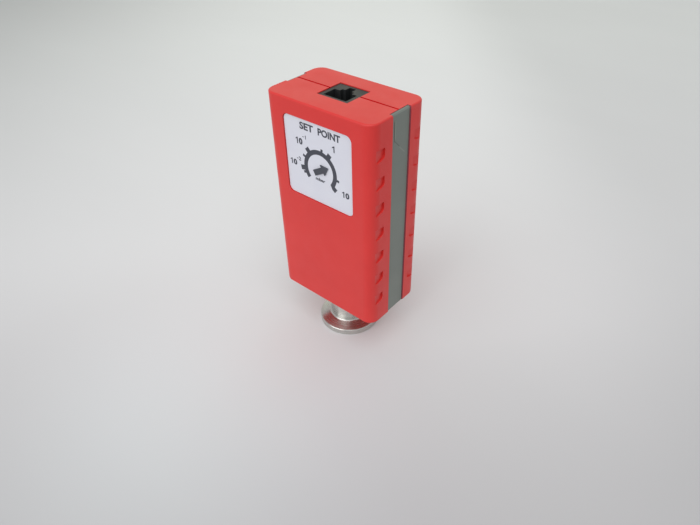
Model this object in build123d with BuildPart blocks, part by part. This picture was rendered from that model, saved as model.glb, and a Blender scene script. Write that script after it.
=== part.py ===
from build123d import *
import math
import os

os.makedirs("parts", exist_ok=True)

# The frame: the middle of the flange sealing face is the origin, Z is up the tube,
# and the dial faces toward negative Y. All lengths are in millimetres.

# Case
case_width = 57.0
case_depth = 34.0
case_height = 99.5
case_bottom = 22.0
case_top = case_bottom + case_height
corner_radius = 5.0
rim_radius = 0.8
wall = 2.2
parting_y = 1.1
front_y = -case_depth / 2
back_y = case_depth / 2
front_inner = front_y + wall
back_inner = back_y - wall
inner_height = case_height - 2 * wall
parting_gap = 0.5
parting_groove = 0.8
groove_stop = 3.9

# Side channels and the strips that fill them
channel_width = 11.5
channel_depth = 1.9
backing = 2.0
strip_gap = 0.15
strip_thickness = 1.3
strip_chamfer = 0.15
strip_top_chamfer = 0.5
strip_end_gap = 0.25
strip_foot_gap = 0.1
clip_width = 2.6
clip_length = 7.0
clip_gap = 0.15
clip_barb = 0.5
clip_overhang = 1.2
clip_play = 0.1
clip_pitch = 32.0
channel_floor = case_width / 2 - channel_depth
backing_inner = channel_floor - backing

# Finger grips moulded into the sides
grip_count = 7
grip_pitch = 12.0
grip_first = 15.2
grip_height = 4.2
grip_depth = 0.85
grip_corner = 1.5
grip_fall = 1.5
grip_front_inset = 7.9
grip_back_inset = 7.4
grip_inner_front = front_y + grip_front_inset
grip_inner_back = back_y - grip_back_inset
grip_run = 6.2
grip_run_depth = 0.35

# Label and trip dial
label_width = 36.5
label_height = 36.1
label_radius = 2.5
label_thickness = 0.3
label_depth = 0.6
label_margin = 0.25
label_drop = 25.25
dial_x = 0.8
dial_drop = 27.6
dial_z = case_top - dial_drop
dial_angle = 29.6
arrow_tip = 5.4
arrow_tail = 3.5
arrow_shaft = 2.6
arrow_head = 4.8
arrow_head_length = 3.6
arrow_clearance = 0.1
label_face = front_y + label_depth
recess_floor = label_face + label_thickness
neck_radius = 1.0
neck_clearance = 0.2
neck_into_arrow = 0.3

# Gauge tube with its clamping flange
flange_radius = 15.0
flange_rim = 3.1
flange_taper = 15.0
flange_edge = 0.25
tube_radius = 9.4
tube_fillet = 1.0
bore_radius = 8.0
centring_radius = 8.6
centring_depth = 2.0
tube_top = 45.0
tube_hole_gap = 0.4
flange_back = flange_rim + (flange_radius - tube_radius) * math.tan(math.radians(flange_taper))

# Inlet filter, feedthrough and filament
filter_height = 12.5
filter_thickness = 0.8
filter_hole = 0.7
filter_inner_ring = 2.6
filter_outer_ring = 5.2
header_radius = 8.6
header_thickness = 2.4
bead_radius = 1.1
pin_radius = 0.45
pin_clearance = 0.3
pin_circle = 4.6
pin_top = 49.4
long_pin_end = 16.0
short_pin_end = 38.0
filament_radius = 0.16
hook_radius = 0.3
hook_setback = 1.0

# Collar that joins the tube to the case
collar_radius = 13.0
collar_lift = 0.3
collar_bottom = case_bottom + wall + collar_lift
collar_top = 38.0
collar_fit = 0.05
rib_bottom = 29.0
rib_thickness = 2.0
rib_half_width = 16.0
rib_gap = 0.2
collar_groove = 11.0
grub_radius = 1.5
grub_z = 34.6
grub_length = 3.3
grub_socket = 0.87
grub_socket_depth = 1.6
key_hole_radius = 1.7

# Boards, hung from the front and the top of the case
board_thickness = 1.6
board_setback = 6.35
board_side_gap = 0.6
board_top_gap = 2.3
board_shoulder_drop = 14.5
board_front = front_inner + board_setback
board_back = board_front + board_thickness
board_half_width = backing_inner - board_side_gap
board_bottom = 50.0
board_shoulder = case_top - board_shoulder_drop
board_top = case_top - wall - board_top_gap
board_span = board_shoulder - board_bottom
post_radius = 2.6
post_inset = 4.0
post_rise = 6.0
post_drop = 5.0
post_x = board_half_width - post_inset
post_low = board_bottom + post_rise
post_high = board_shoulder - post_drop
board_screw = 1.0
board_screw_length = 6.5
board_screw_head = 1.9
board_screw_head_height = 1.3
screw_tip_gap = 0.3
disc_board_radius = 6.9
disc_board_bottom = 47.0
disc_board_thickness = 1.2
link_width = 10.0
link_depth = 2.2
link_height = 6.0
clip_leaf = 0.4
clip_leaf_width = 4.0
clip_leaf_overlap = 6.0
clip_leaf_drop = 5.0
clip_leaf_bend = 0.8

# Screws that close the case
boss_radius = 3.2
back_boss_radius = 4.1
boss_inset = 6.1
boss_drop = 7.5
boss_gap = 0.8
case_screw = 1.5
screw_clearance = 0.2
screw_head = 2.7
screw_head_height = 1.9
counterbore_radius = 3.1
counterbore_depth = 3.0
boss_floor = 2.0
case_screw_length = 22.0

# Connector jack in the top face
jack_x = -0.25
jack_hole_width = 16.1
jack_hole_depth = 14.5
jack_gap = 0.15
jack_pad = 0.3
jack_pad_inset = 0.5
jack_pad_drop = 3.2
jack_drop = 0.35
jack_height = 18.0
jack_top = case_top - jack_drop
jack_bottom = jack_top - jack_height
jack_width = jack_hole_width - 2 * jack_gap
jack_depth = jack_hole_depth - 2 * jack_gap
jack_front = board_back + jack_pad
jack_y = jack_front + jack_depth / 2
plug_width = 11.9
plug_depth = 6.9
key_width = 6.3
key_depth = 1.6
latch_width = 3.4
latch_depth = 2.9
plug_reach = 13.5
jack_rim = 1.5
peg_radius = 1.6
peg_gap = 0.05
peg_spread = 11.4
peg_length = 2.4
peg_drop = 10.7
peg_z = jack_top - peg_drop
contact_count = 8
contact_pitch = 1.02
contact_width = 0.5
contact_thickness = 0.35
contact_rise = 1.6
contact_slot_gap = 0.2
contact_slot_depth = 2.6
contact_tail_length = 0.7
contact_setback = 0.9
contact_lean = 2.8
contact_knee = 0.6
contact_drop = 5.0
contact_z = jack_bottom + contact_rise
neck_margin = 3.6
board_neck = jack_width / 2 + neck_margin

boss_low_x = backing_inner - boss_inset
boss_low_z = collar_top + back_boss_radius + boss_gap
boss_high_x = board_neck + back_boss_radius + boss_gap
boss_high_z = case_top - boss_drop
boss_places = [
    (-boss_low_x, boss_low_z),
    (boss_low_x, boss_low_z),
    (-boss_high_x, boss_high_z),
    (boss_high_x, boss_high_z),
]
post_places = [
    (-post_x, post_low),
    (post_x, post_low),
    (-post_x, post_high),
    (post_x, post_high),
]

# Trip trimmer
trimmer_size = 10.0
trimmer_corner = 0.8
trimmer_wall_gap = 1.6
trimmer_front = front_inner + trimmer_wall_gap
trimmer_nose_radius = 3.6
trimmer_nose = 1.2
rotor_radius = 2.0
rotor_clearance = 0.06
wiper_radius = 3.4
wiper_thickness = 2.2
wiper_setback = 0.8
wiper_gap = 0.2

# Larger components, placed on the main board by parts of its width and height
relay_width = 10.4
relay_height = 20.0
relay_depth = 11.0
relay_corner = 0.6
relay_round = 0.5
relay_x = -0.48 * board_half_width
relay_z = board_bottom + 0.456 * board_span
can_radius = 4.0
can_height = 11.5
can_edge = 0.5
can_x = 0.458 * board_half_width
can_low = board_bottom + 0.316 * board_span
can_high = board_bottom + 0.526 * board_span
chip_width = 7.6
chip_height = 5.2
chip_depth = 1.7
chip_chamfer = 0.2
chip_low = board_bottom + 0.21 * board_span
chip_high = board_bottom + 0.737 * board_span
chip_side = 0.604 * board_half_width
regulator_width = 6.6
regulator_height = 6.2
regulator_depth = 2.3
tab_width = 5.4
tab_height = 1.8
tab_depth = 0.5
regulator_x = -0.542 * board_half_width
regulator_z = board_bottom + 0.386 * board_span
driver_slot_long = 2.2
driver_slot_wide = 0.5
driver_slot_deep = 0.7
case_slot_long = 3.0
case_slot_wide = 0.7
case_slot_deep = 1.2
head_edge = 0.6


# Case blank that both shells are split from
with BuildPart() as case_blank:
    with BuildSketch(Plane.XY.offset(case_bottom)):
        RectangleRounded(case_width, case_depth, corner_radius)
    extrude(amount=case_height)
    rims = case_blank.faces().filter_by(Axis.Z).edges()
    fillet(rims, rim_radius)
    with BuildSketch(Plane.XY.offset(case_bottom + wall)):
        RectangleRounded(case_width - 2 * wall, case_depth - 2 * wall, corner_radius - wall)
    extrude(amount=inner_height, mode=Mode.SUBTRACT)
    # thicker wall behind each side channel
    with BuildSketch(Plane.XY.offset(case_bottom + wall)):
        with Locations((0, parting_y)):
            Rectangle(case_width - 2 * wall, channel_width + 2 * wall)
            Rectangle(2 * backing_inner, channel_width + 2 * wall, mode=Mode.SUBTRACT)
    extrude(amount=inner_height)
    # side channels, open at both ends
    with BuildSketch(Plane.XY.offset(case_bottom)):
        with Locations((0, parting_y)):
            Rectangle(2 * case_width, channel_width)
            Rectangle(2 * channel_floor, channel_width, mode=Mode.SUBTRACT)
    extrude(amount=case_height, mode=Mode.SUBTRACT)
    # slots for the strip clips
    with BuildSketch(Plane.YZ):
        with Locations((parting_y, (case_bottom + case_top) / 2)):
            with GridLocations(0, clip_pitch, 1, 3):
                Rectangle(clip_width + 2 * clip_gap, clip_length + 2 * clip_gap)
    extrude(amount=case_width, both=True, mode=Mode.SUBTRACT)
    # tube opening below and jack opening above
    with BuildSketch(Plane.XY.offset(case_bottom)):
        Circle(tube_radius + tube_hole_gap)
    extrude(amount=wall, mode=Mode.SUBTRACT)
    with BuildSketch(Plane.XY.offset(case_top - wall)):
        with Locations((jack_x, jack_y)):
            Rectangle(jack_hole_width, jack_hole_depth)
    extrude(amount=wall, mode=Mode.SUBTRACT)
    # shadow groove along the parting line, it closes just before the right channel
    with BuildSketch(Plane.XY.offset(case_top - parting_groove)):
        with Locations((-groove_stop / 2, parting_y)):
            Rectangle(case_width - groove_stop, parting_gap)
    extrude(amount=parting_groove, mode=Mode.SUBTRACT)
    with BuildSketch(Plane.XY.offset(case_bottom)):
        with Locations((0, parting_y)):
            Rectangle(case_width, parting_gap)
    extrude(amount=parting_groove, mode=Mode.SUBTRACT)
    # ribs that sit in the groove of the tube collar
    with BuildSketch(Plane.XY.offset(rib_bottom)):
        Rectangle(2 * rib_half_width, case_depth - 2 * wall)
        Circle(collar_groove + rib_gap, mode=Mode.SUBTRACT)
    extrude(amount=rib_thickness)


# Tool for one finger grip on the right front: deepest at its inner wall, with a floor
# that comes out toward the corner and a ledge that falls away toward it
grip_outer = case_width / 2
floor_slope = Vector(grip_run, grip_depth - grip_run_depth, 0)
grip_floor = Plane(origin=(grip_outer - grip_depth, 0, 0), z_dir=floor_slope)
with BuildPart() as grip_tool:
    with BuildSketch(Plane.YZ.offset(grip_outer - wall)) as grip_outline:
        Polygon(
            (0, 0),
            (0, grip_height),
            (-grip_run, grip_height),
            (-grip_run, -grip_fall),
            align=None,
        )
        inner_corner = grip_outline.vertices().group_by(Axis.X)[-1].sort_by(Axis.Y)[0]
        fillet(inner_corner, grip_corner)
    extrude(amount=2 * wall)
    split(bisect_by=grip_floor, keep=Keep.TOP)

with BuildPart() as front_grips:
    for index in range(grip_count):
        grip_z = case_top - grip_first - index * grip_pitch
        add(grip_tool.part.moved(Location((0, grip_inner_front, grip_z))))
    mirror(about=Plane.YZ)

with BuildPart() as back_grips:
    for index in range(grip_count):
        grip_z = case_top - grip_first - index * grip_pitch
        add(grip_tool.part.mirror(Plane.XZ).moved(Location((0, grip_inner_back, grip_z))))
    mirror(about=Plane.YZ)


# Front half of the case
with BuildPart() as front_shell:
    add(case_blank.part)
    split(bisect_by=Plane(origin=(0, parting_y, 0), z_dir=(0, -1, 0)), keep=Keep.TOP)
    # screw bosses up to the parting plane
    with BuildSketch(Plane.XZ.offset(-front_inner)):
        with Locations(boss_places):
            Circle(boss_radius)
    extrude(amount=front_inner - parting_y)
    # short posts that carry the main board
    with BuildSketch(Plane.XZ.offset(-front_inner)):
        with Locations(post_places):
            Circle(post_radius)
    extrude(amount=front_inner - board_front)
    with BuildSketch(Plane.XZ.offset(-parting_y)):
        with Locations(boss_places):
            Circle(case_screw)
    extrude(amount=parting_y - front_inner - boss_floor, mode=Mode.SUBTRACT)
    with BuildSketch(Plane.XZ.offset(-board_front)):
        with Locations(post_places):
            Circle(board_screw)
    extrude(amount=board_screw_length - board_thickness + screw_tip_gap, mode=Mode.SUBTRACT)
    # recess for the label and the hole for the trimmer neck
    with BuildSketch(Plane.XZ.offset(-front_y)):
        with Locations((0, case_top - label_drop)):
            RectangleRounded(
                label_width + 2 * label_margin,
                label_height + 2 * label_margin,
                label_radius + label_margin,
            )
    extrude(amount=front_y - recess_floor, mode=Mode.SUBTRACT)
    with BuildSketch(Plane.XZ.offset(-front_y)):
        with Locations((dial_x, dial_z)):
            Circle(neck_radius + neck_clearance)
    extrude(amount=-2 * wall, mode=Mode.SUBTRACT)
    add(front_grips.part, mode=Mode.SUBTRACT)

front_shell.part.label = "front_shell"
export_step(front_shell.part, "parts/front_shell.step")


# Back half of the case
with BuildPart() as back_shell:
    add(case_blank.part)
    split(bisect_by=Plane(origin=(0, parting_y, 0), z_dir=(0, 1, 0)), keep=Keep.TOP)
    with BuildSketch(Plane.XZ.offset(-parting_y)):
        with Locations(boss_places):
            Circle(back_boss_radius)
    extrude(amount=parting_y - back_inner)
    with BuildSketch(Plane.XZ.offset(-back_y)):
        with Locations(boss_places):
            Circle(case_screw + screw_clearance)
    extrude(amount=back_y - parting_y, mode=Mode.SUBTRACT)
    with BuildSketch(Plane.XZ.offset(-back_y)):
        with Locations(boss_places):
            Circle(counterbore_radius)
    extrude(amount=counterbore_depth, mode=Mode.SUBTRACT)
    # key hole in line with the collar screw
    with BuildSketch(Plane.XZ.offset(-back_y)):
        with Locations((0, grub_z)):
            Circle(key_hole_radius)
    extrude(amount=wall, mode=Mode.SUBTRACT)
    add(back_grips.part, mode=Mode.SUBTRACT)

back_shell.part.label = "back_shell"
export_step(back_shell.part, "parts/back_shell.step")


# Grey cover strips with their clips
strip_height = case_height - strip_end_gap - strip_foot_gap
strip_middle = case_bottom + strip_foot_gap + strip_height / 2
clip_reach = backing + clip_overhang
with BuildPart() as right_strip:
    with BuildSketch(Plane.YZ.offset(channel_floor)):
        with Locations((parting_y, strip_middle)):
            Rectangle(channel_width - 2 * strip_gap, strip_height)
    extrude(amount=strip_thickness)
    strip_edges = right_strip.faces().sort_by(Axis.X)[-1].edges().sort_by(Axis.Z)
    chamfer(strip_edges[:-1], strip_chamfer)
    chamfer(right_strip.faces().sort_by(Axis.X)[-1].edges().sort_by(Axis.Z)[-1], strip_top_chamfer)
    with BuildSketch(Plane.YZ.offset(channel_floor)):
        with Locations((parting_y, (case_bottom + case_top) / 2)):
            with GridLocations(0, clip_pitch, 1, 3):
                Rectangle(clip_width, clip_length)
    extrude(amount=-clip_reach)
    with BuildSketch(Plane.YZ.offset(backing_inner - clip_play)):
        with Locations((parting_y, (case_bottom + case_top) / 2)):
            with GridLocations(0, clip_pitch, 1, 3):
                Rectangle(clip_width + 2 * clip_barb, clip_length)
    extrude(amount=backing - clip_reach + clip_play)

right_strip.part.label = "right_strip"
export_step(right_strip.part, "parts/right_strip.step")

with BuildPart() as left_strip:
    add(right_strip.part.mirror(Plane.YZ))

left_strip.part.label = "left_strip"
export_step(left_strip.part, "parts/left_strip.step")


# Label plate behind the dial arrow
with BuildPart() as label_plate:
    with BuildSketch(Plane.XZ.offset(-label_face)):
        with Locations((0, case_top - label_drop)):
            RectangleRounded(label_width, label_height, label_radius)
        with Locations((dial_x, dial_z)):
            Circle(neck_radius + neck_clearance, mode=Mode.SUBTRACT)
    extrude(amount=-label_thickness)

label_plate.part.label = "label_plate"
export_step(label_plate.part, "parts/label_plate.step")


# Arrow that shows the trip setting, pressed on the trimmer rotor
arrow_back = label_face - arrow_clearance
head_base = arrow_tip - arrow_head_length
with BuildPart() as trip_arrow:
    with BuildSketch(Plane.XZ.offset(-front_y)):
        with Locations(Location((dial_x, dial_z), dial_angle)):
            Polygon(
                (-arrow_tail, -arrow_shaft / 2),
                (head_base, -arrow_shaft / 2),
                (head_base, -arrow_head / 2),
                (arrow_tip, 0),
                (head_base, arrow_head / 2),
                (head_base, arrow_shaft / 2),
                (-arrow_tail, arrow_shaft / 2),
                align=None,
            )
    extrude(amount=front_y - arrow_back)
    with BuildSketch(Plane.XZ.offset(-arrow_back)):
        with Locations((dial_x, dial_z)):
            Circle(neck_radius)
    extrude(amount=neck_into_arrow, mode=Mode.SUBTRACT)

trip_arrow.part.label = "trip_arrow"
export_step(trip_arrow.part, "parts/trip_arrow.step")


# Rotor of the trimmer: wiper disc, journal and the neck that carries the arrow
nose_tip = trimmer_front - trimmer_nose
wiper_back = board_front - wiper_setback
wiper_front = wiper_back - wiper_thickness
with BuildPart() as trimmer_rotor:
    with BuildSketch(Plane.XZ.offset(-wiper_back)):
        with Locations((dial_x, dial_z)):
            Circle(wiper_radius)
    extrude(amount=wiper_thickness)
    with BuildSketch(Plane.XZ.offset(-wiper_front)):
        with Locations((dial_x, dial_z)):
            Circle(rotor_radius)
    extrude(amount=wiper_front - nose_tip)
    with BuildSketch(Plane.XZ.offset(-nose_tip)):
        with Locations((dial_x, dial_z)):
            Circle(neck_radius)
    extrude(amount=nose_tip - arrow_back + neck_into_arrow)

trimmer_rotor.part.label = "trimmer_rotor"
export_step(trimmer_rotor.part, "parts/trimmer_rotor.step")


# Fixed body of the trimmer with the bearing for the rotor
with BuildPart() as trimmer_body:
    with BuildSketch(Plane.XZ.offset(-board_front)):
        with Locations((dial_x, dial_z)):
            RectangleRounded(trimmer_size, trimmer_size, trimmer_corner)
    extrude(amount=board_front - trimmer_front)
    with BuildSketch(Plane.XZ.offset(-trimmer_front)):
        with Locations((dial_x, dial_z)):
            Circle(trimmer_nose_radius)
    extrude(amount=trimmer_nose)
    with BuildSketch(Plane.XZ.offset(-wiper_back - wiper_gap)):
        with Locations((dial_x, dial_z)):
            Circle(wiper_radius + wiper_gap)
    extrude(amount=wiper_thickness + 2 * wiper_gap, mode=Mode.SUBTRACT)
    with BuildSketch(Plane.XZ.offset(-wiper_back)):
        with Locations((dial_x, dial_z)):
            Circle(rotor_radius + rotor_clearance)
    extrude(amount=wiper_back - nose_tip, mode=Mode.SUBTRACT)

trimmer_body.part.label = "trimmer_body"
export_step(trimmer_body.part, "parts/trimmer_body.step")


# Main circuit board, drilled for its screws and for the pegs and contacts of the jack
peg_places = [
    (jack_x - peg_spread / 2, peg_z),
    (jack_x + peg_spread / 2, peg_z),
]
with BuildPart() as main_board:
    with BuildSketch(Plane.XZ.offset(-board_back)):
        Polygon(
            (-board_half_width, board_bottom),
            (board_half_width, board_bottom),
            (board_half_width, board_shoulder),
            (board_neck, board_shoulder),
            (board_neck, board_top),
            (-board_neck, board_top),
            (-board_neck, board_shoulder),
            (-board_half_width, board_shoulder),
            align=None,
        )
        with Locations(post_places):
            Circle(board_screw + screw_clearance, mode=Mode.SUBTRACT)
        with Locations(peg_places):
            Circle(peg_radius + peg_gap, mode=Mode.SUBTRACT)
        with Locations((jack_x, contact_z + contact_thickness / 2)):
            with GridLocations(contact_pitch, 0, contact_count, 1):
                Rectangle(contact_width, contact_thickness, mode=Mode.SUBTRACT)
    extrude(amount=board_thickness)

main_board.part.label = "main_board"
export_step(main_board.part, "parts/main_board.step")


# Eight way jack: outer body, stepped plug cavity, contact slot and locating pegs
plug_front = jack_front + jack_rim
plug_back = plug_front + plug_depth
key_back = plug_back + key_depth
latch_back = key_back + latch_depth
plug_bottom = jack_top - plug_reach
with BuildPart() as jack_housing:
    with BuildSketch(Plane.XY.offset(jack_bottom)):
        with Locations((jack_x, jack_y)):
            Rectangle(jack_width, jack_depth)
    extrude(amount=jack_height)
    # pad that stands on the board below the opening
    with BuildSketch(Plane.XZ.offset(-board_back)):
        with Locations((jack_x, jack_bottom + (jack_height - jack_pad_drop) / 2)):
            Rectangle(jack_width - 2 * jack_pad_inset, jack_height - jack_pad_drop)
    extrude(amount=-jack_pad)
    # plug cavity with the latch key behind it
    with BuildSketch(Plane.XY.offset(jack_top)):
        with Locations((jack_x, (plug_front + plug_back) / 2)):
            Rectangle(plug_width, plug_depth)
        with Locations((jack_x, (plug_back + key_back) / 2)):
            Rectangle(key_width, key_depth)
        with Locations((jack_x, (key_back + latch_back) / 2)):
            Rectangle(latch_width, latch_depth)
    extrude(amount=-plug_reach, mode=Mode.SUBTRACT)
    # slot that lets the contacts out to the board
    slot_width = contact_count * contact_pitch + 2 * contact_slot_gap
    slot_back = plug_front + contact_slot_depth
    with BuildSketch(Plane.XY.offset(jack_bottom)):
        with Locations((jack_x, (board_back + slot_back) / 2)):
            Rectangle(slot_width, slot_back - board_back)
    extrude(amount=jack_height - plug_reach, mode=Mode.SUBTRACT)
    with BuildSketch(Plane.XZ.offset(-board_back)):
        with Locations(peg_places):
            Circle(peg_radius)
    extrude(amount=peg_length)

jack_housing.part.label = "jack_housing"
export_step(jack_housing.part, "parts/jack_housing.step")


# Spring contacts of the jack
contact_tail = board_front - contact_tail_length
contact_bend = plug_front + contact_setback
contact_tip_y = plug_front + contact_lean
contact_tip_z = jack_top - contact_drop
with BuildPart() as jack_contacts:
    for index in range(contact_count):
        contact_x = jack_x + (index - (contact_count - 1) / 2) * contact_pitch
        with BuildSketch(Plane.YZ.offset(contact_x - contact_width / 2)):
            Polygon(
                (contact_tail, contact_z),
                (contact_bend, contact_z),
                (contact_bend, plug_bottom + contact_knee),
                (contact_tip_y, contact_tip_z),
                (contact_tip_y - contact_thickness, contact_tip_z),
                (contact_bend - contact_thickness, plug_bottom + contact_knee),
                (contact_bend - contact_thickness, contact_z + contact_thickness),
                (contact_tail, contact_z + contact_thickness),
                align=None,
            )
        extrude(amount=contact_width)

jack_contacts.part.label = "jack_contacts"
export_step(jack_contacts.part, "parts/jack_contacts.step")


# Gauge tube turned in one piece with the flange
with BuildPart() as gauge_tube:
    with BuildSketch(Plane.XZ):
        Polygon(
            (centring_radius, 0),
            (flange_radius, 0),
            (flange_radius, flange_rim),
            (tube_radius, flange_back),
            (tube_radius, tube_top),
            (header_radius, tube_top),
            (header_radius, tube_top - header_thickness),
            (bore_radius, tube_top - header_thickness),
            (bore_radius, centring_depth),
            (centring_radius, centring_depth),
            align=None,
        )
    revolve(axis=Axis.Z)
    root = gauge_tube.edges().filter_by(GeomType.CIRCLE)
    root = root.filter_by(lambda e: abs(e.radius - tube_radius) < 0.01)
    fillet(root.sort_by(Axis.Z)[0], tube_fillet)
    rim = gauge_tube.edges().filter_by(GeomType.CIRCLE)
    rim = rim.filter_by(lambda e: abs(e.radius - flange_radius) < 0.01)
    chamfer(rim, flange_edge)

gauge_tube.part.label = "gauge_tube"
export_step(gauge_tube.part, "parts/gauge_tube.step")


# Filter disc pressed in the bore
with BuildPart() as inlet_filter:
    with BuildSketch(Plane.XY.offset(filter_height)):
        Circle(bore_radius)
        Circle(filter_hole, mode=Mode.SUBTRACT)
        with PolarLocations(filter_inner_ring, 6):
            Circle(filter_hole, mode=Mode.SUBTRACT)
        with PolarLocations(filter_outer_ring, 12):
            Circle(filter_hole, mode=Mode.SUBTRACT)
    extrude(amount=filter_thickness)

inlet_filter.part.label = "inlet_filter"
export_step(inlet_filter.part, "parts/inlet_filter.step")


# Feedthrough that closes the top of the tube
with BuildPart() as header_disc:
    with BuildSketch(Plane.XY.offset(tube_top - header_thickness)):
        Circle(header_radius)
        with PolarLocations(pin_circle, 4):
            Circle(bead_radius, mode=Mode.SUBTRACT)
    extrude(amount=header_thickness)

header_disc.part.label = "header_disc"
export_step(header_disc.part, "parts/header_disc.step")

with BuildPart() as header_beads:
    with BuildSketch(Plane.XY.offset(tube_top - header_thickness)):
        with PolarLocations(pin_circle, 4):
            Circle(bead_radius)
            Circle(pin_radius, mode=Mode.SUBTRACT)
    extrude(amount=header_thickness)

header_beads.part.label = "header_beads"
export_step(header_beads.part, "parts/header_beads.step")

# Two long and two short pins
with BuildPart() as header_pins:
    with BuildSketch(Plane.XY.offset(pin_top)):
        with PolarLocations(pin_circle, 2):
            Circle(pin_radius)
    extrude(amount=long_pin_end - pin_top)
    with BuildSketch(Plane.XY.offset(pin_top)):
        with PolarLocations(pin_circle, 2, 90):
            Circle(pin_radius)
    extrude(amount=short_pin_end - pin_top)

header_pins.part.label = "header_pins"
export_step(header_pins.part, "parts/header_pins.step")

# Hooks from one long and one short pin to the tube axis
hook_low = long_pin_end + hook_setback
hook_high = short_pin_end + hook_setback
with BuildPart() as filament_hooks:
    with BuildSketch(Plane.YZ.offset(pin_circle - pin_radius)):
        with Locations((0, hook_low)):
            Rectangle(2 * hook_radius, 2 * hook_radius)
    extrude(amount=-(pin_circle - pin_radius + hook_radius))
    with BuildSketch(Plane.XZ.offset(-(pin_circle - pin_radius))):
        with Locations((0, hook_high)):
            Rectangle(2 * hook_radius, 2 * hook_radius)
    extrude(amount=pin_circle - pin_radius + hook_radius)

filament_hooks.part.label = "filament_hooks"
export_step(filament_hooks.part, "parts/filament_hooks.step")

with BuildPart() as filament:
    with BuildSketch(Plane.XY.offset(hook_low + hook_radius)):
        Circle(filament_radius)
    extrude(amount=hook_high - hook_low - 2 * hook_radius)

filament.part.label = "filament"
export_step(filament.part, "parts/filament.step")


# Collar on the tube, gripped by the ribs of both shells
with BuildPart() as tube_collar:
    with BuildSketch(Plane.XZ):
        Polygon(
            (tube_radius, collar_bottom),
            (collar_radius, collar_bottom),
            (collar_radius, rib_bottom - rib_gap),
            (collar_groove, rib_bottom - rib_gap),
            (collar_groove, rib_bottom + rib_thickness + rib_gap),
            (collar_radius, rib_bottom + rib_thickness + rib_gap),
            (collar_radius, collar_top),
            (tube_radius, collar_top),
            align=None,
        )
    revolve(axis=Axis.Z)
    with BuildSketch(Plane.XZ):
        with Locations((0, grub_z)):
            Circle(grub_radius)
    extrude(amount=-collar_radius, mode=Mode.SUBTRACT)

tube_collar.part.label = "tube_collar"
export_step(tube_collar.part, "parts/tube_collar.step")

grub_tip = tube_radius + collar_fit
with BuildPart() as collar_screw:
    with BuildSketch(Plane.XZ.offset(-grub_tip)):
        with Locations((0, grub_z)):
            Circle(grub_radius)
    extrude(amount=-grub_length)
    with BuildSketch(Plane.XZ.offset(-grub_tip - grub_length)):
        with Locations((0, grub_z)):
            RegularPolygon(grub_socket, 6)
    extrude(amount=grub_socket_depth, mode=Mode.SUBTRACT)

collar_screw.part.label = "collar_screw"
export_step(collar_screw.part, "parts/collar_screw.step")


# Small round board on the header pins
with BuildPart() as sensor_board:
    with BuildSketch(Plane.XY.offset(disc_board_bottom)):
        Circle(disc_board_radius)
        with PolarLocations(pin_circle, 4):
            Circle(pin_radius, mode=Mode.SUBTRACT)
    extrude(amount=disc_board_thickness)

sensor_board.part.label = "sensor_board"
export_step(sensor_board.part, "parts/sensor_board.step")

# Angled header that links the two boards
link_bottom = disc_board_bottom + disc_board_thickness
link_y = board_back + link_depth / 2
with BuildPart() as board_link:
    with BuildSketch(Plane.XY.offset(link_bottom)):
        with Locations((0, link_y)):
            Rectangle(link_width, link_depth)
        with PolarLocations(pin_circle, 4):
            Circle(pin_radius + pin_clearance, mode=Mode.SUBTRACT)
    extrude(amount=link_height)

board_link.part.label = "board_link"
export_step(board_link.part, "parts/board_link.step")

# Spring leaf that earths the tube to the board
with BuildPart() as earth_clip:
    with BuildSketch(Plane.YZ.offset(-clip_leaf_width / 2)):
        Polygon(
            (board_front, board_bottom + clip_leaf_overlap),
            (board_front - clip_leaf, board_bottom + clip_leaf_overlap),
            (board_front - clip_leaf, board_bottom - clip_leaf_bend),
            (-tube_radius - clip_leaf, tube_top + clip_leaf_bend),
            (-tube_radius - clip_leaf, tube_top - clip_leaf_drop),
            (-tube_radius, tube_top - clip_leaf_drop),
            (-tube_radius, tube_top + clip_leaf_bend),
            (board_front, board_bottom - clip_leaf_bend),
            align=None,
        )
    extrude(amount=clip_leaf_width)

earth_clip.part.label = "earth_clip"
export_step(earth_clip.part, "parts/earth_clip.step")


# Larger components on the main board
with BuildPart() as trip_relay:
    with BuildSketch(Plane.XZ.offset(-board_back)):
        with Locations((relay_x, relay_z)):
            RectangleRounded(relay_width, relay_height, relay_corner)
    extrude(amount=-relay_depth)
    fillet(trip_relay.faces().sort_by(Axis.Y)[-1].edges(), relay_round)

trip_relay.part.label = "trip_relay"
export_step(trip_relay.part, "parts/trip_relay.step")

with BuildPart() as board_capacitors:
    with BuildSketch(Plane.XZ.offset(-board_back)):
        with Locations((can_x, can_low), (can_x, can_high)):
            Circle(can_radius)
    extrude(amount=-can_height)
    chamfer(board_capacitors.faces().group_by(Axis.Y)[-1].edges(), can_edge)

board_capacitors.part.label = "board_capacitors"
export_step(board_capacitors.part, "parts/board_capacitors.step")

with BuildPart() as board_chips:
    with BuildSketch(Plane.XZ.offset(-board_back)):
        with Locations((0, chip_low), (0, chip_high), (chip_side, chip_high)):
            Rectangle(chip_width, chip_height)
    extrude(amount=-chip_depth)
    chamfer(board_chips.faces().group_by(Axis.Y)[-1].edges(), chip_chamfer)

board_chips.part.label = "board_chips"
export_step(board_chips.part, "parts/board_chips.step")

# The tab of the regulator sticks out past its body
with BuildPart() as board_regulator:
    with BuildSketch(Plane.XZ.offset(-board_front)):
        with Locations((regulator_x, regulator_z)):
            Rectangle(regulator_width, regulator_height)
    extrude(amount=regulator_depth)
    with BuildSketch(Plane.XZ.offset(-board_front)):
        with Locations((regulator_x, regulator_z + (regulator_height + tab_height) / 2)):
            Rectangle(tab_width, tab_height)
    extrude(amount=tab_depth)

board_regulator.part.label = "board_regulator"
export_step(board_regulator.part, "parts/board_regulator.step")


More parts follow.
